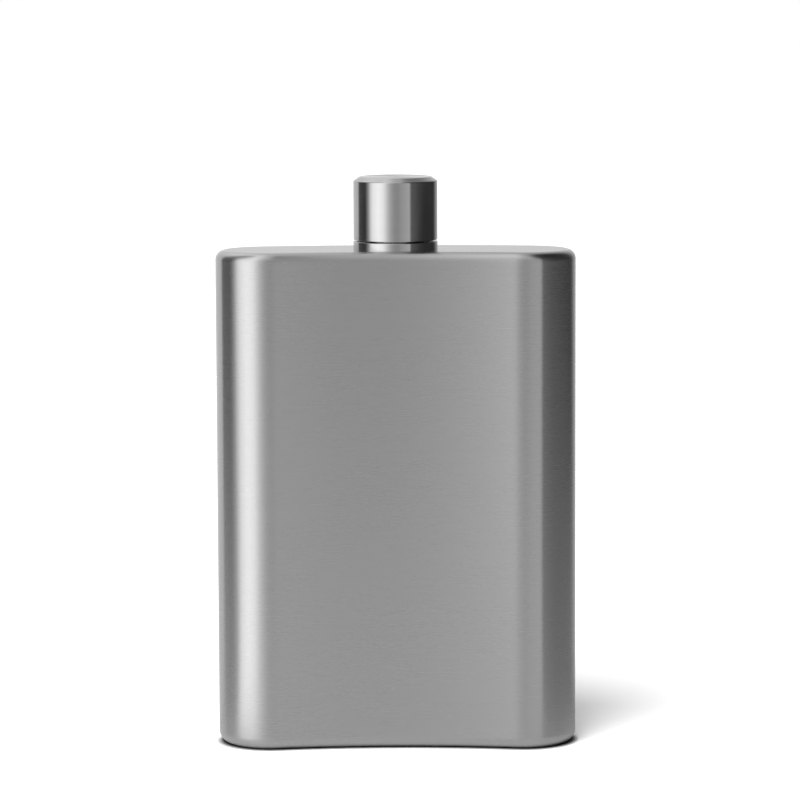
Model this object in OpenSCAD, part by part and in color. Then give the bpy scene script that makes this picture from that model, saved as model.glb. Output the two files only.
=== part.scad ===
// Hip flask: a bent, round-edged steel body with a threaded neck and a plain screw cap.
// The origin is at the middle of the footprint, at the level that the flask stands on.

/* [Body] */
// Width of the body over its two round edges
body_w = 88; // [70:0.5:110]
// Thickness of the body from its front wall to its back wall
body_d = 26; // [20:0.5:32]
// Height of the body, from the base to the top plate
body_h = 121.7; // [80:0.1:160]
// How far the bend brings the round edges forward of the body's middle
bend_rise = 2.6; // [0.8:0.1:5]
// Thickness of the steel sheet
wall = 0.6; // [0.5:0.1:1]
// Radius of the rolled edge round the top plate
top_edge_r = 2.3; // [1.4:0.1:4]
// Radius of the rolled edge round the base plate
base_edge_r = 2.8; // [1.4:0.1:4]
// Straight skirt of each plate, between its rolled edge and the sleeve
plate_skirt = 0.8; // [0.3:0.1:3]
// Width of the flat rim that the flask stands on
base_rim = 2.4; // [1.5:0.1:4]
// Depth of the panel pressed into the base
base_recess = 0.6; // [0.3:0.1:1.2]

/* [Neck] */
// Inside diameter of the spout
spout_bore = 12.9; // [10:0.1:16]
// Wall of the spout
spout_wall = 0.9; // [0.7:0.1:1.2]
// Plain stretch of the spout above its thread
spout_lip = 0.95; // [0.6:0.05:3]
// How far the spout's flange reaches out under the top plate
flange_w = 1.2; // [0.6:0.1:2]
// Thickness of the spout's flange
flange_t = 1; // [0.6:0.1:2]
// Height of the collar ring
collar_h = 1.95; // [1:0.05:4]
// How far the collar ring stands out past the cap
collar_step = 0.05; // [0:0.05:0.5]

/* [Thread] */
// Rise of the thread in one turn
pitch = 3.175; // [2.6:0.005:4]
// Turns of thread on the spout
turns = 2; // [1.5:0.25:3]
// Height of the thread's ridge above its wall
ridge_h = 0.75; // [0.5:0.05:1]
// Width of the ridge at its foot
ridge_foot = 1.8; // [1.2:0.1:2]
// Width of the ridge at its crest
ridge_crest = 0.7; // [0.3:0.1:1]
// Clearance between a ridge and the wall that it faces
thread_gap = 0.2; // [0.1:0.05:0.3]

/* [Cap] */
// Wall of the cap's metal shell
cap_wall = 0.8; // [0.5:0.1:1]
// Wall of the insert, between its thread and the metal shell
insert_wall = 1.2; // [1:0.1:3]
// Thickness of the insert over the sealing disc
insert_roof_t = 2.55; // [2:0.05:5]
// Height of the chamfer round the cap's top
chamfer_h = 1; // [0.5:0.1:1.5]
// Width of the chamfer round the cap's top
chamfer_w = 1.5; // [0.5:0.1:2]
// Gap between the closed cap and the collar
cap_gap = 0.3; // [0.2:0.05:0.6]
// How far the insert stops short of the shell's lower edge
insert_recess = 0.3; // [0.1:0.1:0.8]
// Radius that softens the edges of the collar and the spout's mouth
soft_r = 0.25; // [0.1:0.05:0.3]

/* [Seal] */
// Thickness of the sealing disc
seal_t = 1.6; // [1:0.1:2]
// Clearance round the sealing disc
seal_play = 0.2; // [0.1:0.05:0.3]
// Gap on either side of the sealing disc in the closed cap
seal_gap = 0.05; // [0.03:0.01:0.1]

/* [Hidden] */
$fn = 96;
cut = 1; // how far a cutting shape runs past what it cuts

bend_chord = body_w - body_d; // from the middle of one round edge to the middle of the other
bend_r = (bend_chord * bend_chord / 4 + bend_rise * bend_rise) / (2 * bend_rise);
bend_half = asin(bend_chord / 2 / bend_r); // half of the angle that the bend spans
bend_fn = 360; // flats in a whole turn of the bend, of which the body spans a few degrees
side_lap = 1; // how many degrees of the bend each side is swept past the middle
neck_y = bend_rise / 2; // the neck stands over the middle of the bent body
base_seam = base_edge_r + plate_skirt;
top_seam = body_h - top_edge_r - plate_skirt;

spout_r = spout_bore / 2 + spout_wall;
spout_foot = body_h - wall - flange_t;
collar_top = body_h + collar_h;
cap_foot = collar_top + cap_gap;
insert_foot = cap_foot + insert_recess;

ridge_steps = 36; // flats in one turn of thread
ridge_run_in = 4; // steps over which a ridge rises to its full height
ridge_bite = 0.2; // how deep a ridge is rooted in its wall
thread_start = insert_foot + ridge_foot; // the middle of both ridges at their lower ends
spout_top = thread_start + pitch * turns + ridge_foot / 2 + spout_lip;

insert_bore_r = spout_r + ridge_h + thread_gap;
insert_r = insert_bore_r + insert_wall;
seal_foot = spout_top + seal_gap;
insert_roof = seal_foot + seal_t + seal_gap;
insert_top = insert_roof + insert_roof_t;
cap_r = insert_r + cap_wall;
cap_top = insert_top + cap_wall;

// Carries a cross-section along the bend and round both edges of the body. The section is
// drawn with x across the thickness, measured from its middle, and y upwards. Each side is
// swept past the middle, where the two lie in each other.
module round_the_body() {
    translate([0, neck_y - bend_r, 0])
        for (side = [0, 1]) mirror([side, 0, 0]) rotate([0, 0, 90 - bend_half]) {
            rotate_extrude(angle = bend_half + side_lap, $fn = bend_fn)
                translate([bend_r, 0]) children();
            translate([bend_r, 0, 0]) rotate([0, 0, 180]) rotate_extrude(angle = 180)
                intersection() {
                    children();
                    square([body_d, body_h]);
                }
        }
}

// Puts a piece on the axis of the neck, at the height z.
module on_neck(z) {
    translate([0, neck_y, z]) children();
}

// A section as wide as w, from the ground to height h, with its lower corners rounded by r.
module dish_section(w, h, r) {
    intersection() {
        union() {
            translate([-w / 2, r]) square([w, h - r]);
            translate([r - w / 2, 0]) square([w - 2 * r, h]);
            for (side = [-1, 1]) translate([side * (w / 2 - r), r]) circle(r);
        }
        translate([-w / 2, 0]) square([w, h]);
    }
}

// The sheet of a pressed plate: a dish as deep as its rolled edge and skirt.
module plate_section(edge_r) {
    difference() {
        dish_section(body_d, edge_r + plate_skirt, edge_r);
        translate([0, wall])
            dish_section(body_d - 2 * wall, edge_r + plate_skirt, edge_r - wall);
    }
}

module body_sleeve() {
    color("silver") round_the_body()
        for (side = [-1, 1])
            translate([side * (body_d - wall) / 2 - wall / 2, base_seam])
                square([wall, top_seam - base_seam]);
}

module top_plate() {
    color("lightgray") difference() {
        round_the_body() translate([0, body_h]) mirror([0, 1]) plate_section(top_edge_r);
        on_neck(top_seam) cylinder(h = body_h - top_seam + cut, r = spout_r);
    }
}

module base_plate() {
    panel_w = body_d - 2 * (base_edge_r + base_rim);
    color("darkgray") round_the_body() difference() {
        union() {
            plate_section(base_edge_r);
            translate([-panel_w / 2 - wall, 0])
                square([panel_w + 2 * wall, base_recess + wall]);
        }
        translate([-panel_w / 2, -cut]) square([panel_w, base_recess + cut]);
    }
}

// A ring's section from radius r1 to radius r2, with both corners of its upper end softened.
module ring_section(r1, r2, h) {
    translate([r1, 0]) square([r2 - r1, h - soft_r]);
    translate([r1 + soft_r, 0]) square([r2 - r1 - 2 * soft_r, h]);
    for (x = [r1 + soft_r, r2 - soft_r]) translate([x, h - soft_r]) circle(soft_r);
}

module neck_collar() {
    color("gainsboro") on_neck(body_h) rotate_extrude() {
        ring_section(spout_r, cap_r + collar_step, collar_h);
        translate([spout_r, 0]) square([2 * soft_r, collar_h]);
    }
}

// One corner list of the ridge at a step of its helix. The ridge stands on a wall of radius
// foot_r, and reaches inwards if grow is negative.
function ridge_corners(foot_r, grow, rise) =
    let (bite_w = ridge_foot + (ridge_foot - ridge_crest) * ridge_bite / ridge_h,
         root = foot_r - sign(grow) * ridge_bite,
         crest = foot_r + grow * rise,
         s = sign(grow) / 2)
    [[root, -s * bite_w], [crest, -s * ridge_crest], [crest, s * ridge_crest], [root, s * bite_w]];

// A right-hand ridge that rises from z = 0 at the angle given, with both of its ends faded out.
module thread_ridge(foot_r, grow, ridge_turns, angle) {
    steps = round(ridge_turns * ridge_steps);
    points = [
        for (i = [0:steps])
            let (a = angle + 360 * i / ridge_steps,
                 rise = min(1, (i + 0.4) / ridge_run_in, (steps - i + 0.4) / ridge_run_in))
            for (p = ridge_corners(foot_r, grow, rise))
                [p[0] * cos(a), p[0] * sin(a), p[1] + pitch * i / ridge_steps]
    ];
    sides = [
        for (i = [0:steps - 1], j = [0:3])
            let (a = 4 * i + j, b = 4 * i + (j + 1) % 4)
            each [[a, b, b + 4], [a, b + 4, a + 4]]
    ];
    last = 4 * steps;
    ends = [[2, 1, 0], [3, 2, 0], [last, last + 1, last + 2], [last, last + 2, last + 3]];
    polyhedron(points = points, faces = concat(sides, ends), convexity = 6);
}

module spout() {
    color("gray") {
        on_neck(spout_foot) {
            rotate_extrude() ring_section(spout_bore / 2, spout_r, spout_top - spout_foot);
            difference() {
                cylinder(h = flange_t, r = spout_r + flange_w);
                translate([0, 0, -cut])
                    cylinder(h = flange_t + 2 * cut, r = (spout_bore + spout_wall) / 2);
            }
        }
        on_neck(thread_start) thread_ridge(spout_r, ridge_h, turns, 0);
    }
}

// The outline of a capped cylinder from its axis outwards, with its upper edge chamfered.
module cap_outline(r, h) {
    polygon([[0, 0], [r, 0], [r, h - chamfer_h], [r - chamfer_w, h], [0, h]]);
}

module cap_shell() {
    color("whitesmoke") on_neck(cap_foot) rotate_extrude() difference() {
        cap_outline(cap_r, cap_top - cap_foot);
        translate([0, -cut]) cap_outline(insert_r, insert_top - cap_foot + cut);
    }
}

module cap_insert() {
    color("dimgray") {
        on_neck(insert_foot) rotate_extrude() difference() {
            cap_outline(insert_r, insert_top - insert_foot);
            translate([0, -cut]) square([insert_bore_r, insert_roof - insert_foot + cut]);
        }
        // It keeps half a pitch below the spout's ridge, because it starts half a turn on.
        on_neck(thread_start) thread_ridge(insert_bore_r, -ridge_h, turns - 0.5, 180);
    }
}

module cap_seal() {
    color("ivory") on_neck(seal_foot) cylinder(h = seal_t, r = insert_bore_r - seal_play);
}

body_sleeve();
top_plate();
base_plate();
neck_collar();
spout();
cap_shell();
cap_insert();
cap_seal();
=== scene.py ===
import math

import bpy
import bmesh
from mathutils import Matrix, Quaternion, Vector


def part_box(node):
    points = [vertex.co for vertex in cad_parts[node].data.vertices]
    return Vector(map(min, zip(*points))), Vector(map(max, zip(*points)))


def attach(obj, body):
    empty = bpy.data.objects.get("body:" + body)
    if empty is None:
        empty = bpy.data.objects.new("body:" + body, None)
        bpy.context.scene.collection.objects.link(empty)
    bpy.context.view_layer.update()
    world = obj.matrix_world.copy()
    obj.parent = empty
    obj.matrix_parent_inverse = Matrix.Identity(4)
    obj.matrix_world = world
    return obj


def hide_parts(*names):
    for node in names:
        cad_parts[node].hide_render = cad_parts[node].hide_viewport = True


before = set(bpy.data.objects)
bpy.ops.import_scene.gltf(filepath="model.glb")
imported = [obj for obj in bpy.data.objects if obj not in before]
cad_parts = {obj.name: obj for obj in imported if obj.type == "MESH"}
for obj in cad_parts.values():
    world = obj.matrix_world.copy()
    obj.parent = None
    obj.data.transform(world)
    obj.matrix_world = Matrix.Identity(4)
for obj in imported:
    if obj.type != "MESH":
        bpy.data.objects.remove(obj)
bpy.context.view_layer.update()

mm = 0.001


# a socket that takes part in sums, for shaders and for geometry alike
class Wire:
    def __init__(self, graph, socket):
        self.graph = graph
        self.socket = socket

    def __add__(self, other):
        return self.graph.math("ADD", self, other)

    def __sub__(self, other):
        return self.graph.math("SUBTRACT", self, other)

    def __mul__(self, other):
        return self.graph.math("MULTIPLY", self, other)

    def __truediv__(self, other):
        return self.graph.math("DIVIDE", self, other)

    def __rsub__(self, other):
        return self.graph.math("SUBTRACT", other, self)

    def __rtruediv__(self, other):
        return self.graph.math("DIVIDE", other, self)

    __radd__ = __add__
    __rmul__ = __mul__


class Graph:
    def __init__(self, tree):
        self.tree = tree

    def node(self, kind, settings=None, inputs=None):
        made = self.tree.nodes.new(kind)
        for name, value in (settings or {}).items():
            setattr(made, name, value)
        for name, value in (inputs or {}).items():
            socket = made.inputs[name]
            if isinstance(value, Wire):
                self.tree.links.new(value.socket, socket)
            else:
                socket.default_value = value
        return made

    def wire(self, kind, settings=None, inputs=None, output=0):
        return Wire(self, self.node(kind, settings, inputs).outputs[output])

    def math(self, operation, *values):
        return self.wire("ShaderNodeMath", {"operation": operation}, dict(enumerate(values)))

    def clamp(self, value, low=0.0, high=1.0):
        return self.math("MINIMUM", self.math("MAXIMUM", value, low), high)

    def vector(self, x, y, z):
        return self.wire("ShaderNodeCombineXYZ", None, {"X": x, "Y": y, "Z": z})

    def split(self, vector):
        made = self.node("ShaderNodeSeparateXYZ", None, {0: vector})
        return [Wire(self, made.outputs[i]) for i in range(3)]

    def grey(self, level):
        return self.vector(level, level, level)

    def length(self, x, y):
        flat = self.vector(x, y, 0.0)
        return self.wire("ShaderNodeVectorMath", {"operation": "LENGTH"}, {0: flat}, "Value")

    def smooth(self, value, start, end, low=0.0, high=1.0):
        return self.wire("ShaderNodeMapRange", {"interpolation_type": "SMOOTHSTEP"},
                         {0: value, 1: start, 2: end, 3: low, 4: high})

    def noise(self, place, scale, detail, rough):  # from -0.5 to 0.5, round about
        return self.wire("ShaderNodeTexNoise", None,
                         {"Vector": place, "Scale": scale, "Detail": detail, "Roughness": rough}) - 0.5

    def tint(self, factor, look):
        return self.wire("ShaderNodeMix", {"data_type": "RGBA"},
                         {0: factor, 6: look["darkTone"] + (1.0,), 7: look["lightTone"] + (1.0,)}, 2)


# sizes read from the frame
bodyLow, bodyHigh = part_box("body_sleeve")
topLow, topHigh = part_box("top_plate")
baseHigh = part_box("base_plate")[1]
collarLow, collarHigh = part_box("neck_collar")
spoutLow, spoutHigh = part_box("spout")
shellLow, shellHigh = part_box("cap_shell")
insertLow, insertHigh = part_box("cap_insert")
sealLow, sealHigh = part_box("cap_seal")

neckY = (collarLow.y + collarHigh.y) / 2
bendRise = 2 * neckY
bodyDepth = bodyHigh.y - bodyLow.y - bendRise
halfChord = (bodyHigh.x - bodyLow.x - bodyDepth) / 2
bendRadius = (halfChord ** 2 + bendRise ** 2) / (2 * bendRise)
bendHalf = math.asin(halfChord / bendRadius)
halfDepth = bodyDepth / 2


# sections: corner lists with rounded corners, which are run round the body or turned on a lathe
def roundedSection(corners, steps=8, hold=0.12 * mm):
    # corners are (distance out, height, corner radius)
    # hold is how far past a round corner a row of points keeps the flat beside it flat
    points = []
    last = len(corners) - 1
    for i, (x, z, radius) in enumerate(corners):
        here = Vector((x, z))
        if radius <= 0 or i in (0, last):
            points.append(here)
            continue
        back = (Vector(corners[i - 1][:2]) - here).normalized()
        ahead = (Vector(corners[i + 1][:2]) - here).normalized()
        half = back.angle(ahead) / 2
        reach = radius / math.tan(half)
        middle = here + (back + ahead).normalized() * (radius / math.sin(half))
        start = here + back * reach - middle
        sweep = start.angle_signed(here + ahead * reach - middle)
        if (points[-1] - here).length > reach + 2 * hold:
            points.append(here + back * (reach + hold))
        for step in range(steps + 1):
            angle = -sweep * step / steps
            turned = Vector((start.x * math.cos(angle) - start.y * math.sin(angle),
                             start.x * math.sin(angle) + start.y * math.cos(angle)))
            points.append(middle + turned)
        if (Vector(corners[i + 1][:2]) - here).length > reach + 2 * hold:
            points.append(here + ahead * (reach + hold))
    return points


def runLength(points):
    return sum((points[i + 1] - points[i]).length for i in range(len(points) - 1))


def sectionObject(name, points, closed, start=0.0):
    # the height of each vertex is its z, its distance out is x, and y carries the length run so far
    mesh = bpy.data.meshes.new(name + "Section")
    if closed:
        points = points + [points[0]]
    run, vertices = start, []
    for i, point in enumerate(points):
        if i:
            run += (point - points[i - 1]).length
        vertices.append((point.x, run, point.y))
    mesh.from_pydata(vertices, [(i, i + 1) for i in range(len(vertices) - 1)], [])
    thing = bpy.data.objects.new(name + "Section", mesh)
    bpy.context.scene.collection.objects.link(thing)
    return thing


def newTree(name, sizes):
    tree = bpy.data.node_groups.new(name, "GeometryNodeTree")
    tree.interface.new_socket("Geometry", in_out="INPUT", socket_type="NodeSocketGeometry")
    for label, kind in sizes:
        tree.interface.new_socket(label, in_out="INPUT", socket_type="NodeSocket" + kind)
    tree.interface.new_socket("Geometry", in_out="OUTPUT", socket_type="NodeSocketGeometry")
    return tree


def sweepTree(name, sizes, placeRule):
    # a grid, columns along the run and rows over the section, is laid where the rule says
    sizes = [("Columns", "Int")] + sizes + [("Weld", "Float"), ("Finish", "Material")]
    tree = newTree(name, sizes)
    g = Graph(tree)
    start = g.node("NodeGroupInput")
    given = {socket.name: Wire(g, socket) for socket in start.outputs if socket.name}
    rows = g.wire("GeometryNodeAttributeDomainSize", {"component": "MESH"}, {"Geometry": given["Geometry"]})
    grid = g.wire("GeometryNodeMeshGrid", None,
                  {"Size X": 1.0, "Size Y": 1.0, "Vertices X": given["Columns"], "Vertices Y": rows})
    place = g.wire("GeometryNodeInputPosition")  # read on the grid, and on the section where it is sampled
    gridX, gridY, _ = g.split(place)
    row = g.math("ROUND", (gridY + 0.5) * (rows - 1))
    point = g.wire("GeometryNodeSampleIndex", {"data_type": "FLOAT_VECTOR", "domain": "POINT", "clamp": True},
                   {"Geometry": given["Geometry"], "Value": place, "Index": row})
    out, across, height = g.split(point)
    laid = g.wire("GeometryNodeStoreNamedAttribute", {"data_type": "FLOAT", "domain": "POINT"},
                  {"Geometry": grid, "Name": "across", "Value": across})
    laid = g.wire("GeometryNodeSetPosition", None,
                  {"Geometry": laid, "Position": placeRule(g, given, gridX + 0.5, out, height)})
    laid = g.wire("GeometryNodeMergeByDistance", None, {"Geometry": laid, "Distance": given["Weld"]})
    laid = g.wire("GeometryNodeSetShadeSmooth", {"domain": "FACE"}, {"Geometry": laid, "Shade Smooth": True})
    laid = g.wire("GeometryNodeRealizeInstances", None, {"Geometry": laid})
    laid = g.wire("GeometryNodeSetMaterial", None, {"Geometry": laid, "Material": given["Finish"]})
    g.node("NodeGroupOutput", None, {"Geometry": laid})
    return tree


def roundTheBody(g, given, along, out, height):
    # back wall, round end, front wall, round end: a quarter of the columns each
    quarter = along * 4
    onBack, onEnd = g.clamp(quarter), g.clamp(quarter - 1)
    onFront, onOtherEnd = g.clamp(quarter - 2), g.clamp(quarter - 3)
    bend = given["Bend half angle"] * (2 * onBack - 2 * onFront - 1)
    facing = bend + math.pi * (onEnd + onOtherEnd)
    x = given["Bend radius"] * g.math("SINE", bend) + out * g.math("SINE", facing)
    y = given["Bend radius"] * (g.math("COSINE", bend) - 1) + out * g.math("COSINE", facing)
    return g.vector(x, y + given["Middle Y"], height)


def roundTheNeck(g, given, along, out, height):
    turn = along * (2 * math.pi)
    return g.vector(out * g.math("COSINE", turn), out * g.math("SINE", turn) + given["Middle Y"], height)


def upTheThread(g, given, along, out, height):
    # both ends of the ridge sink into its wall, and the last column closes to a point
    turn = given["Start angle"] + along * given["Turns"] * (2 * math.pi)
    fromEnd = g.math("MINIMUM", along, 1 - along)
    fade = g.clamp(fromEnd * given["Turns"] * given["Fade"])
    pinch = g.clamp(fromEnd * (given["Columns"] - 1))
    rise = g.math("MAXIMUM", out, 0) * fade + g.math("MINIMUM", out, 0)
    reach = given["Wall radius"] + rise * pinch * given["Side"]
    z = height * pinch + given["Start Z"] + along * given["Turns"] * given["Pitch"]
    return g.vector(reach * g.math("COSINE", turn), reach * g.math("SINE", turn) + given["Middle Y"], z)


def floats(*names):
    return [(name, "Float") for name in names]


bodyTree = sweepTree("roundTheBody", floats("Bend half angle", "Bend radius", "Middle Y"), roundTheBody)
latheTree = sweepTree("roundTheNeck", floats("Middle Y"), roundTheNeck)
threadTree = sweepTree("upTheThread", floats("Wall radius", "Side", "Turns", "Pitch", "Start angle",
                                             "Start Z", "Fade", "Middle Y"), upTheThread)
print("geometry trees built")


def swept(section, tree, sizes, cutter=None):
    modifier = section.modifiers.new("sweep", "NODES")
    modifier.node_group = tree
    for item in tree.interface.items_tree:
        if item.in_out == "INPUT" and item.name in sizes:
            modifier[item.identifier] = sizes[item.name]
    if cutter:
        hole = section.modifiers.new("hole", "BOOLEAN")
        hole.operation, hole.solver, hole.object = "DIFFERENCE", "EXACT", cutter
    depsgraph = bpy.context.evaluated_depsgraph_get()
    mesh = bpy.data.meshes.new_from_object(section.evaluated_get(depsgraph), depsgraph=depsgraph)
    for used in (section, cutter):
        if used:
            bpy.data.objects.remove(used)
    return mesh


flatFrom = 0.9999  # how level a face is, by its normal's z, before it counts as a flat
weld = 1e-6  # corners closer than this, in metres, are joined
fineWeld = 1e-7  # the same for the thread's narrow ends, and for edges that have no length


def finishedPiece(name, meshes, finish, body, nodes, sharp=32, flatFinish=None):
    # the meshes become one piece, facing outwards, with only its true edges sharp
    work = bmesh.new()
    for mesh in meshes:
        work.from_mesh(mesh)
    bmesh.ops.dissolve_degenerate(work, edges=work.edges, dist=fineWeld)
    bmesh.ops.recalc_face_normals(work, faces=work.faces)
    whole = bpy.data.meshes.new(name)
    work.to_mesh(whole)
    work.free()
    whole.materials.clear()
    whole.materials.append(finish)
    if flatFinish:
        whole.materials.append(flatFinish)
    for face in whole.polygons:
        face.material_index = 1 if flatFinish and abs(face.normal.z) > flatFrom else 0
    whole.shade_smooth()
    whole.set_sharp_from_angle(angle=math.radians(sharp))
    piece = bpy.data.objects.new(name, whole)
    bpy.context.scene.collection.objects.link(piece)
    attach(piece, body)
    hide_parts(*nodes)
    print(name, "made:", len(whole.polygons), "faces")


quarterColumns = 60  # columns on each wall and on each round end


def bodySizes(finish):
    return {"Columns": 4 * quarterColumns + 1, "Bend half angle": bendHalf, "Bend radius": bendRadius,
            "Middle Y": neckY, "Weld": weld, "Finish": finish}


def latheSizes(finish, columns):
    return {"Columns": columns, "Middle Y": neckY, "Weld": weld, "Finish": finish}


def newFinish(name):
    material = bpy.data.materials.new(name)
    material.use_nodes = True
    material.node_tree.nodes.clear()
    return material, Graph(material.node_tree)


def brushedSteel(name, look):
    material, g = newFinish(name)
    place = g.wire("ShaderNodeTexCoord", None, None, "Object")
    x, y, z = g.split(place)
    across, beside = y, z
    if not look["straight"]:
        across, beside = g.wire("ShaderNodeAttribute", {"attribute_name": "across"}, None, "Fac"), y

    def lines(fineShare, runShare, detail):  # fine lines that run round the piece
        run = look["runPerMetre"] * runShare
        spot = g.vector(x * run, beside * run, across * (look["finePerMetre"] * fineShare))
        return g.noise(spot, 1.0, detail, 0.6)

    fine = lines(1.0, 1.0, 2.0)
    broad = lines(0.18, 0.5, 3.0)
    scratch = lines(0.45, 1.6, 1.0)
    # only the tallest peaks stay, as stray scratches
    scratch = g.clamp((scratch - look["scratchFrom"]) * look["scratchSharp"])
    haze = g.noise(place, look["hazePerMetre"], 3.0, 0.55)
    grain = fine + broad * look["broadShare"]
    tone = 0.5 + grain * look["grainTone"] + haze * look["hazeTone"] + scratch * look["scratchTone"]
    polish = g.smooth(z, look["edgeFrom"], look["edgeTo"], 0.0, look["edgePolish"])
    roughness = look["roughness"] + grain * look["grainRoughness"] + haze * look["hazeRoughness"]
    roughness = roughness - polish  # the rolled edge is rubbed smoother than the walls
    bumped = g.wire("ShaderNodeBump", None, {"Strength": look["bumpStrength"], "Distance": look["bumpDepth"],
                                             "Height": grain + scratch * 0.5})
    shader = g.wire("ShaderNodeBsdfPrincipled", None, {
        "Base Color": g.tint(g.clamp(tone), look), "Metallic": 1.0, "Normal": bumped,
        "Roughness": g.clamp(roughness, 0.05, 0.9),
        "Anisotropic": look["anisotropy"], "Anisotropic Rotation": look["spreadTurn"]})
    g.node("ShaderNodeOutputMaterial", None, {"Surface": shader})
    return material


bodyLook = {"darkTone": (0.50, 0.50, 0.50), "lightTone": (0.70, 0.70, 0.70),
            "finePerMetre": 6800.0, "runPerMetre": 90.0, "hazePerMetre": 45.0, "broadShare": 0.8,
            "grainTone": 0.17, "hazeTone": 0.12, "scratchTone": -0.05,
            "scratchFrom": 0.17, "scratchSharp": 9.0,
            "roughness": 0.28, "grainRoughness": 0.045, "hazeRoughness": 0.03,
            "bumpStrength": 0.055, "bumpDepth": 0.00001, "anisotropy": 1.0,
            "spreadTurn": 0.25,  # a quarter turn spreads the highlight across the lines
            "straight": False,
            "edgeFrom": topHigh.z - 2.0 * mm, "edgeTo": topHigh.z - 0.3 * mm, "edgePolish": 0.09}
flatLook = dict(bodyLook, anisotropy=0.0, roughness=0.22, straight=True, edgePolish=0.0)
capLook = dict(bodyLook, lightTone=(0.68, 0.68, 0.68), finePerMetre=7000.0, runPerMetre=50.0,
               grainTone=0.25, roughness=0.18, grainRoughness=0.05, bumpStrength=0.15, edgePolish=0.0)
collarLook = dict(capLook, roughness=0.12)
spoutLook = dict(capLook, finePerMetre=5000.0, roughness=0.24, bumpStrength=0.3, anisotropy=0.7)


def mouldedPlastic(name, look):
    material, g = newFinish(name)
    place = g.wire("ShaderNodeTexCoord", None, None, "Object")
    fine = g.noise(place, look["finePerMetre"], 3.0, 0.6)
    cloud = g.noise(place, look["cloudPerMetre"], 2.0, 0.5)
    tone = 0.5 + cloud * look["cloudTone"] + fine * look["fineTone"]
    roughness = look["roughness"] + fine * look["fineRoughness"] + cloud * look["cloudRoughness"]
    bumped = g.wire("ShaderNodeBump", None, {"Strength": look["bumpStrength"], "Distance": look["bumpDepth"],
                                             "Height": fine})
    shader = g.wire("ShaderNodeBsdfPrincipled", None, {
        "Base Color": g.tint(g.clamp(tone), look), "Roughness": g.clamp(roughness), "Normal": bumped,
        "IOR": look["ior"]})
    g.node("ShaderNodeOutputMaterial", None, {"Surface": shader})
    return material


insertLook = {"darkTone": (0.018, 0.018, 0.02), "lightTone": (0.05, 0.05, 0.053),
              "finePerMetre": 5200.0, "cloudPerMetre": 180.0, "fineTone": 0.5, "cloudTone": 1.4,
              "roughness": 0.48, "fineRoughness": 0.2, "cloudRoughness": 0.12,
              "bumpStrength": 0.3, "bumpDepth": 0.00003, "ior": 1.5}
sealLook = dict(insertLook, darkTone=(0.66, 0.65, 0.61), lightTone=(0.80, 0.79, 0.76), finePerMetre=3600.0,
                cloudPerMetre=140.0, roughness=0.62, bumpStrength=0.2, ior=1.42)

bodySteel = brushedSteel("bodySteelBrushed", bodyLook)
flatSteel = brushedSteel("flatSteelBrushed", flatLook)
capSteel = brushedSteel("capSteelPolished", capLook)
collarSteel = brushedSteel("collarSteelPolished", collarLook)
spoutSteel = brushedSteel("spoutSteelTurned", spoutLook)
insertPlastic = mouldedPlastic("insertPlasticBlack", insertLook)
sealSilicone = mouldedPlastic("sealSiliconePale", sealLook)
print("finishes mixed")


sleeveShape = {"sheet": 0.6 * mm}


def makeSleeve(shape):
    inner = halfDepth - shape["sheet"]
    corners = [(inner, bodyLow.z), (halfDepth, bodyLow.z), (halfDepth, bodyHigh.z), (inner, bodyHigh.z)]
    points = [Vector(corner) for corner in corners]
    section = sectionObject("bodySleeve", points, True, bodyLow.z - shape["sheet"])
    mesh = swept(section, bodyTree, bodySizes(bodySteel))
    finishedPiece("bodySleeve", [mesh], bodySteel, "flask", ["body_sleeve"])


makeSleeve(sleeveShape)

# the ridge and the spout stand here because the hole in the top plate follows them
ridgeShape = {"rise": 0.75 * mm, "foot": 1.8 * mm, "crest": 0.7 * mm, "bite": 0.2 * mm, "pitch": 3.175 * mm,
              "softEdge": 0.12 * mm, "fadesPerTurn": 9.0, "stepsPerTurn": 72}
spoutShape = {"bore": 6.45 * mm, "wall": 0.9 * mm, "flangeThick": 1.0 * mm, "softEdge": 0.25 * mm,
              "ridgeTurns": 2.0, "ridgeStart": 0, "columns": 161}
neckHoleRadius = spoutShape["bore"] + spoutShape["wall"]
threadStartZ = insertLow.z + ridgeShape["foot"]  # the middle of both ridges at their lower ends

# neckRow is where a row of points keeps the flat flat round the neck's hole
topShape = {"sheet": 0.6 * mm, "edge": 2.3 * mm, "neckRow": 8.2 * mm, "holeColumns": 160, "holeDeep": 8 * mm}


def makeTopPlate(shape):
    sheet, edge = shape["sheet"], shape["edge"]
    inner = halfDepth - sheet
    under = [(0, topHigh.z - sheet, 0), (shape["neckRow"], topHigh.z - sheet, 0),
             (inner, topHigh.z - sheet, edge - sheet), (inner, topLow.z, 0)]
    over = [(halfDepth, topLow.z, 0), (halfDepth, topHigh.z, edge), (shape["neckRow"], topHigh.z, 0),
            (0, topHigh.z, 0)]
    underPoints = roundedSection(under, steps=8)
    start = topLow.z - sheet - runLength(underPoints)  # the grain's count meets the sleeve's at the seam
    section = sectionObject("topPlate", underPoints + roundedSection(over, steps=10), False, start)
    hole = bpy.data.meshes.new("neckHole")
    work = bmesh.new()
    bmesh.ops.create_cone(work, cap_ends=True, segments=shape["holeColumns"], radius1=neckHoleRadius,
                          radius2=neckHoleRadius, depth=shape["holeDeep"])
    bmesh.ops.translate(work, verts=work.verts, vec=(0, neckY, topHigh.z))
    work.to_mesh(hole)
    work.free()
    cutter = bpy.data.objects.new("neckHole", hole)
    bpy.context.scene.collection.objects.link(cutter)
    mesh = swept(section, bodyTree, bodySizes(bodySteel), cutter)
    finishedPiece("topPlate", [mesh], bodySteel, "flask", ["top_plate"],
                  flatFinish=flatSteel)


makeTopPlate(topShape)

baseShape = {"sheet": 0.6 * mm, "edge": 2.8 * mm, "standingRim": 2.4 * mm, "recess": 0.6 * mm,
             "recessEdge": 0.25 * mm}


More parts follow.
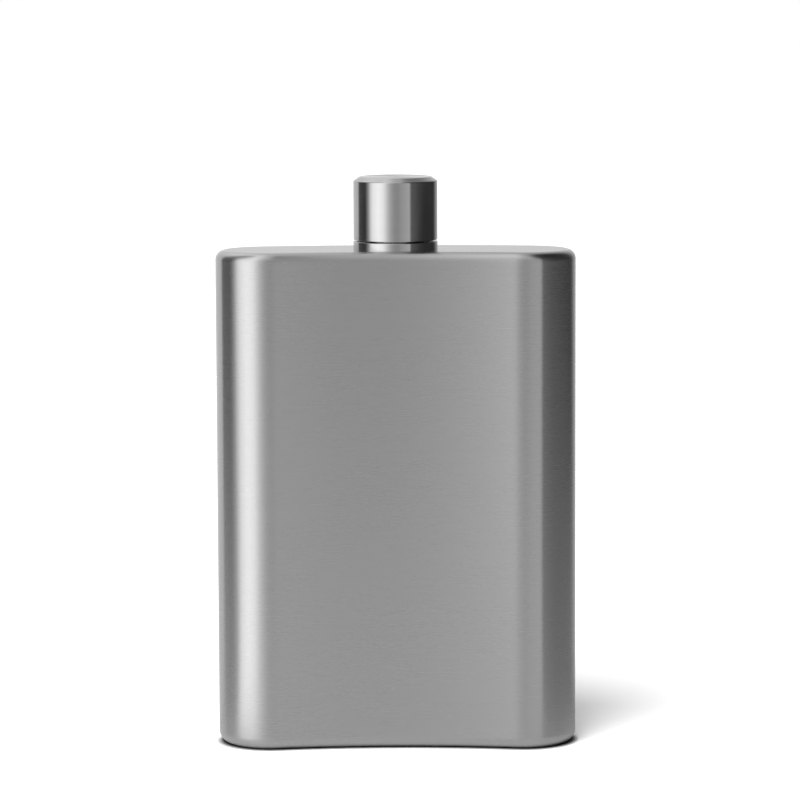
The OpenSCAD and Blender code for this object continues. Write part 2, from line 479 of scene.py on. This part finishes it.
def makeBasePlate(shape):
    sheet, edge, soft = shape["sheet"], shape["edge"], shape["recessEdge"]
    inner, panel = halfDepth - sheet, halfDepth - edge - shape["standingRim"]
    outside = [(0, shape["recess"], 0), (panel, shape["recess"], soft), (panel, 0, soft),
               (halfDepth, 0, edge), (halfDepth, baseHigh.z, 0)]
    inside = [(inner, baseHigh.z, 0), (inner, sheet, edge - sheet), (panel + sheet, sheet, 0),
              (panel + sheet, shape["recess"] + sheet, soft), (0, shape["recess"] + sheet, 0)]
    outerPoints = roundedSection(outside, steps=10)
    start = baseHigh.z - runLength(outerPoints)
    section = sectionObject("basePlate", outerPoints + roundedSection(inside, steps=8), False, start)
    mesh = swept(section, bodyTree, bodySizes(bodySteel))
    finishedPiece("basePlate", [mesh], bodySteel, "flask", ["base_plate"],
                  flatFinish=flatSteel)


makeBasePlate(baseShape)


def ridgeMesh(name, shape, wallRadius, side, turns, startAngle, finish):
    # side is 1 for a ridge that reaches outwards, and -1 for one that reaches inwards
    biteWidth = shape["foot"] + (shape["foot"] - shape["crest"]) * shape["bite"] / shape["rise"]
    corners = [(-shape["bite"], -biteWidth / 2, 0), (shape["rise"], -shape["crest"] / 2, shape["softEdge"]),
               (shape["rise"], shape["crest"] / 2, shape["softEdge"]), (-shape["bite"], biteWidth / 2, 0)]
    section = sectionObject(name, roundedSection(corners, steps=3, hold=0.02 * mm), True)
    sizes = {"Columns": round(turns * shape["stepsPerTurn"]) + 1, "Wall radius": wallRadius,
             "Side": float(side), "Turns": turns, "Pitch": shape["pitch"],
             "Start angle": math.radians(startAngle), "Start Z": threadStartZ, "Fade": shape["fadesPerTurn"],
             "Middle Y": neckY, "Weld": fineWeld, "Finish": finish}
    return swept(section, threadTree, sizes)


def makeSpout(shape):
    bore, wall, soft = shape["bore"], shape["bore"] + shape["wall"], shape["softEdge"]
    flange = (spoutHigh.x - spoutLow.x) / 2
    under = spoutLow.z + shape["flangeThick"]
    corners = [(flange, spoutLow.z, 0), (flange, under, 0), (wall, under, 0), (wall, spoutHigh.z, soft),
               (bore, spoutHigh.z, soft), (bore, spoutLow.z, 0)]
    section = sectionObject("threadedSpout", roundedSection(corners, steps=5, hold=0.05 * mm), True)
    tube = swept(section, latheTree, latheSizes(spoutSteel, shape["columns"]))
    ridge = ridgeMesh("spoutRidge", ridgeShape, wall, 1, shape["ridgeTurns"], shape["ridgeStart"], spoutSteel)
    finishedPiece("threadedSpout", [tube, ridge], spoutSteel, "flask", ["spout"])


makeSpout(spoutShape)

collarShape = {"softEdge": 0.25 * mm, "columns": 193}


def makeCollar(shape):
    outer, soft = (collarHigh.x - collarLow.x) / 2, shape["softEdge"]
    corners = [(neckHoleRadius, collarLow.z, 0), (outer, collarLow.z, 0), (outer, collarHigh.z, soft),
               (neckHoleRadius, collarHigh.z, soft), (neckHoleRadius, collarLow.z, 0)]
    points = roundedSection(corners, steps=6, hold=0.05 * mm)
    section = sectionObject("neckCollar", points, False, collarLow.z)
    mesh = swept(section, latheTree, latheSizes(collarSteel, shape["columns"]))
    finishedPiece("neckCollar", [mesh], collarSteel, "flask", ["neck_collar"])


makeCollar(collarShape)

capShape = {"wall": 0.8 * mm, "chamferHigh": 1.0 * mm, "chamferWide": 1.5 * mm, "chamferSoft": 0.1 * mm,
            "sideSoft": 0.3 * mm, "footSoft": 0.12 * mm, "columns": 193, "sharpAngle": 24}


def makeCapShell(shape):
    outer, top = (shellHigh.x - shellLow.x) / 2, shellHigh.z
    inner, roof = outer - shape["wall"], top - shape["wall"]
    high, wide = shape["chamferHigh"], shape["chamferWide"]
    corners = [(0, roof, 0), (inner - wide, roof, 0), (inner, roof - high, 0),
               (inner, shellLow.z, shape["footSoft"]), (outer, shellLow.z, shape["footSoft"]),
               (outer, top - high, shape["sideSoft"]), (outer - wide, top, shape["chamferSoft"]), (0, top, 0)]
    section = sectionObject("capShell", roundedSection(corners, steps=5, hold=0.05 * mm), False)
    mesh = swept(section, latheTree, latheSizes(capSteel, shape["columns"]))
    finishedPiece("capShell", [mesh], capSteel, "cap", ["cap_shell"], shape["sharpAngle"])


makeCapShell(capShape)

# the insert's ridge starts half a turn on, so that it keeps half a pitch below the spout's
insertShape = {"boreWall": 1.2 * mm, "roofThick": 2.55 * mm, "softEdge": 0.15 * mm,
               "ridgeTurns": 1.5, "ridgeStart": 180, "columns": 161}


def makeCapInsert(shape):
    outer, top = (insertHigh.x - insertLow.x) / 2, insertHigh.z
    bore, roof = outer - shape["boreWall"], top - shape["roofThick"]
    high, wide = capShape["chamferHigh"], capShape["chamferWide"]  # it fills the shell up to its chamfer
    soft = shape["softEdge"]
    corners = [(0, roof, 0), (bore, roof, soft), (bore, insertLow.z, soft), (outer, insertLow.z, soft),
               (outer, top - high, 0), (outer - wide, top, 0), (0, top, 0)]
    section = sectionObject("capInsert", roundedSection(corners, steps=4, hold=0.05 * mm), False)
    cup = swept(section, latheTree, latheSizes(insertPlastic, shape["columns"]))
    ridge = ridgeMesh("insertRidge", ridgeShape, bore, -1, shape["ridgeTurns"], shape["ridgeStart"],
                      insertPlastic)
    finishedPiece("capInsert", [cup, ridge], insertPlastic, "cap", ["cap_insert"])


makeCapInsert(insertShape)

sealShape = {"softEdge": 0.25 * mm, "columns": 129}


def makeCapSeal(shape):
    radius, soft = (sealHigh.x - sealLow.x) / 2, shape["softEdge"]
    corners = [(0, sealLow.z, 0), (radius, sealLow.z, soft), (radius, sealHigh.z, soft), (0, sealHigh.z, 0)]
    section = sectionObject("capSeal", roundedSection(corners, steps=5, hold=0.05 * mm), False)
    mesh = swept(section, latheTree, latheSizes(sealSilicone, shape["columns"]))
    finishedPiece("capSeal", [mesh], sealSilicone, "seal", ["cap_seal"])


makeCapSeal(sealShape)
print("pieces made")


# (degrees round from the camera's side, towards its right; brightness) near eye level, and
# (how far the direction leans to the right, from -1 to 1; brightness) overhead
studio = {
    "round": [(-180, 0.8), (-150, 0.72), (-139, 0.66), (-124, 0.64), (-119, 0.1), (-96, 0.04), (-89, 0.06),
              (-79, 0.45), (-74, 0.9), (-66, 1.32), (-48, 1.52), (-34, 1.33), (-28, 1.08), (-20, 0.76),
              (-14, 0.58), (-8, 0.46), (-2, 0.39), (4, 0.37), (9, 0.38), (15, 0.44), (38, 0.58), (40.5, 0.48),
              (43, 0.14), (66, 0.07), (88, 0.04), (126, 0.04), (133, 0.1), (140, 0.25), (152, 0.44),
              (168, 0.64), (180, 0.8)],
    "overhead": [(-1.0, 0.25), (-0.85, 0.9), (-0.6, 1.12), (-0.35, 0.88), (0.0, 0.6), (0.2, 0.58),
                 (0.42, 0.46), (0.5, 0.3), (0.6, 0.14), (0.8, 0.04), (1.0, 0.02)],
    "leanFloor": 0.35, "overheadFrom": 0.3, "overheadTo": 0.8,
    "below": 0.5, "belowFrom": -0.25, "belowTo": -0.5, "backdrop": 1.0}
keyLight = {"azimuth": -23, "elevation": 58, "spread": 34, "strength": 3.0}
# mirrored is the painted light and shade on the table where the steel mirrors it, again by degrees round:
# lighter to the left where the soft light would fall, darker to the right; near the body, from rampFrom to
# rampTo, it is plain; spine is how far to each side the round ends' middles are
table = {
    "mirrored": [(-180, 0.5), (-128, 0.5), (-118, 0.42), (-96, 0.38), (-74, 0.48), (-60, 1.0), (-48, 1.12),
                 (-34, 0.98), (-22, 0.66), (-8, 0.47), (4, 0.45), (36, 0.48), (44, 0.32), (70, 0.26),
                 (120, 0.26), (145, 0.34), (180, 0.5)],
    "plain": 0.46, "rampFrom": 14 * mm, "rampTo": 50 * mm, "spine": 31 * mm,
    "tone": 1.05, "reachX": 0.34, "reachY": 0.24, "fade": 0.5, "side": 6.0,
    # the last three set the painted shade that darkens the floor's colour where the flask stands: reach,
    # power and samples
    "paintedShadeReach": 2 * mm, "paintedShadePower": 2.0, "paintedShadeSamples": 6}


def ramp(g, factor, stops, low, high):
    made = g.node("ShaderNodeValToRGB", None, {"Fac": factor})
    elements = made.color_ramp.elements
    for i, (place, level) in enumerate(stops):
        place = (place - low) / (high - low)
        element = elements[i] if i < 2 else elements.new(place)
        element.position = place
        element.color = (level, level, level, 1.0)
    return Wire(g, made.outputs["Color"])


def degreesRound(g, x, y):
    return g.math("ARCTAN2", x, -1 * y) / (2 * math.pi) + 0.5


def makeWorld(light):
    world = bpy.data.worlds.new("studioLight")
    world.use_nodes = True
    world.node_tree.nodes.clear()
    g = Graph(world.node_tree)
    x, y, z = g.split(g.wire("ShaderNodeTexCoord", None, None, "Generated"))
    around = ramp(g, degreesRound(g, x, y), light["round"], -180, 180)
    lean = x / g.math("MAXIMUM", g.length(x, y), light["leanFloor"])
    above = ramp(g, lean * 0.5 + 0.5, light["overhead"], -1, 1)
    upward = g.smooth(z, light["overheadFrom"], light["overheadTo"])
    downward = g.wire("ShaderNodeMapRange", None,
                      {0: z, 1: light["belowFrom"], 2: light["belowTo"], 3: 1.0, 4: light["below"]})
    level = around * downward * (1 - upward) + above * upward
    seen = g.wire("ShaderNodeLightPath", None, None, "Is Camera Ray")
    level = level * (1 - seen) + seen * light["backdrop"]
    surface = g.wire("ShaderNodeBackground", None, {"Color": g.grey(level), "Strength": 1.0})
    g.node("ShaderNodeOutputWorld", None, {"Surface": surface})
    bpy.context.scene.world = world


def makeKeyLight(light):
    data = bpy.data.lights.new("keyLight", "SUN")
    data.energy, data.angle = light["strength"], math.radians(light["spread"])
    lamp = bpy.data.objects.new("keyLight", data)
    turn, lift = math.radians(light["azimuth"]), math.radians(light["elevation"])
    towards = Vector((math.sin(turn) * math.cos(lift), -math.cos(turn) * math.cos(lift), math.sin(lift)))
    lamp.location = towards
    lamp.rotation_mode = "QUATERNION"
    lamp.rotation_quaternion = towards.to_track_quat("Z", "Y")
    lamp.visible_glossy = False  # the steel mirrors the soft light all round instead
    bpy.context.scene.collection.objects.link(lamp)


def makeFloor(look):
    side = look["side"]
    corners = [(-side, -side, 0), (side, -side, 0), (side, side, 0), (-side, side, 0)]
    mesh = bpy.data.meshes.new("floor")
    mesh.from_pydata(corners, [], [(0, 1, 2, 3)])
    floor = bpy.data.objects.new("floor", mesh)
    bpy.context.scene.collection.objects.link(floor)
    material, g = newFinish("floorWithPaintedLightAndShade")
    x, y, _ = g.split(g.wire("ShaderNodeTexCoord", None, None, "Object"))
    # painted shade: ambient occlusion darkens the floor's own colour near the flask's foot, a contact shadow
    # drawn into the floor rather than cast
    paintedShade = g.wire("ShaderNodeAmbientOcclusion", {"samples": look["paintedShadeSamples"]},
                     {"Distance": look["paintedShadeReach"]}, "AO")
    tone = g.math("POWER", paintedShade, look["paintedShadePower"]) * look["tone"]
    paleWithPaintedShade = g.wire("ShaderNodeBsdfDiffuse", None, {"Color": g.grey(tone)})
    # painted light: where the steel mirrors the floor, its colour is lighter round to the left and darker to
    # the right, as if the soft light fell there, and plain near the body
    aside = x - g.clamp(x, -look["spine"], look["spine"])
    away = g.smooth(g.length(aside, y), look["rampFrom"], look["rampTo"])
    around = ramp(g, degreesRound(g, aside, y), look["mirrored"], -180, 180)
    paintedLightInSteel = around * away + look["plain"] * (1 - away)
    floorInSteelWithPaintedLight = g.wire("ShaderNodeBsdfDiffuse", None, {"Color": g.grey(paintedLightInSteel)})
    fade = g.smooth(g.length(x / look["reachX"], y / look["reachY"]), 1.0, 1.0 + look["fade"])
    gone = g.wire("ShaderNodeBsdfTransparent")
    floorInSteelWithPaintedLight = g.wire("ShaderNodeMixShader", None, {0: fade, 1: floorInSteelWithPaintedLight, 2: gone})
    mirrored = g.wire("ShaderNodeLightPath", None, None, "Is Glossy Ray")
    mixed = g.wire("ShaderNodeMixShader", None, {0: mirrored, 1: paleWithPaintedShade, 2: floorInSteelWithPaintedLight})
    g.node("ShaderNodeOutputMaterial", None, {"Surface": mixed})
    mesh.materials.append(material)


makeWorld(studio)
makeKeyLight(keyLight)
makeFloor(table)
print("studio lit")


lens = {"target": Vector((0.951 * mm, neckY, 84.32 * mm)), "distance": 936.8 * mm, "lookDown": 6.785,
        "roll": -0.219, "focal": 171.504, "sensor": 36.0, "near": 0.05, "far": 20.0}


def makeCamera(look):
    data = bpy.data.cameras.new("camera")
    data.lens, data.sensor_width = look["focal"], look["sensor"]
    data.clip_start, data.clip_end = look["near"], look["far"]
    camera = bpy.data.objects.new("camera", data)
    tilt = math.radians(look["lookDown"])
    back = Vector((0, -math.cos(tilt), math.sin(tilt)))
    camera.rotation_mode = "QUATERNION"
    camera.location = look["target"] + back * look["distance"]
    roll = Quaternion((0, 0, 1), math.radians(look["roll"]))
    camera.rotation_quaternion = (-back).to_track_quat("-Z", "Y") @ roll
    bpy.context.scene.collection.objects.link(camera)
    bpy.context.scene.camera = camera


makeCamera(lens)
bpy.context.scene.view_settings.view_transform = "Standard"
bpy.context.scene.view_settings.look = "None"
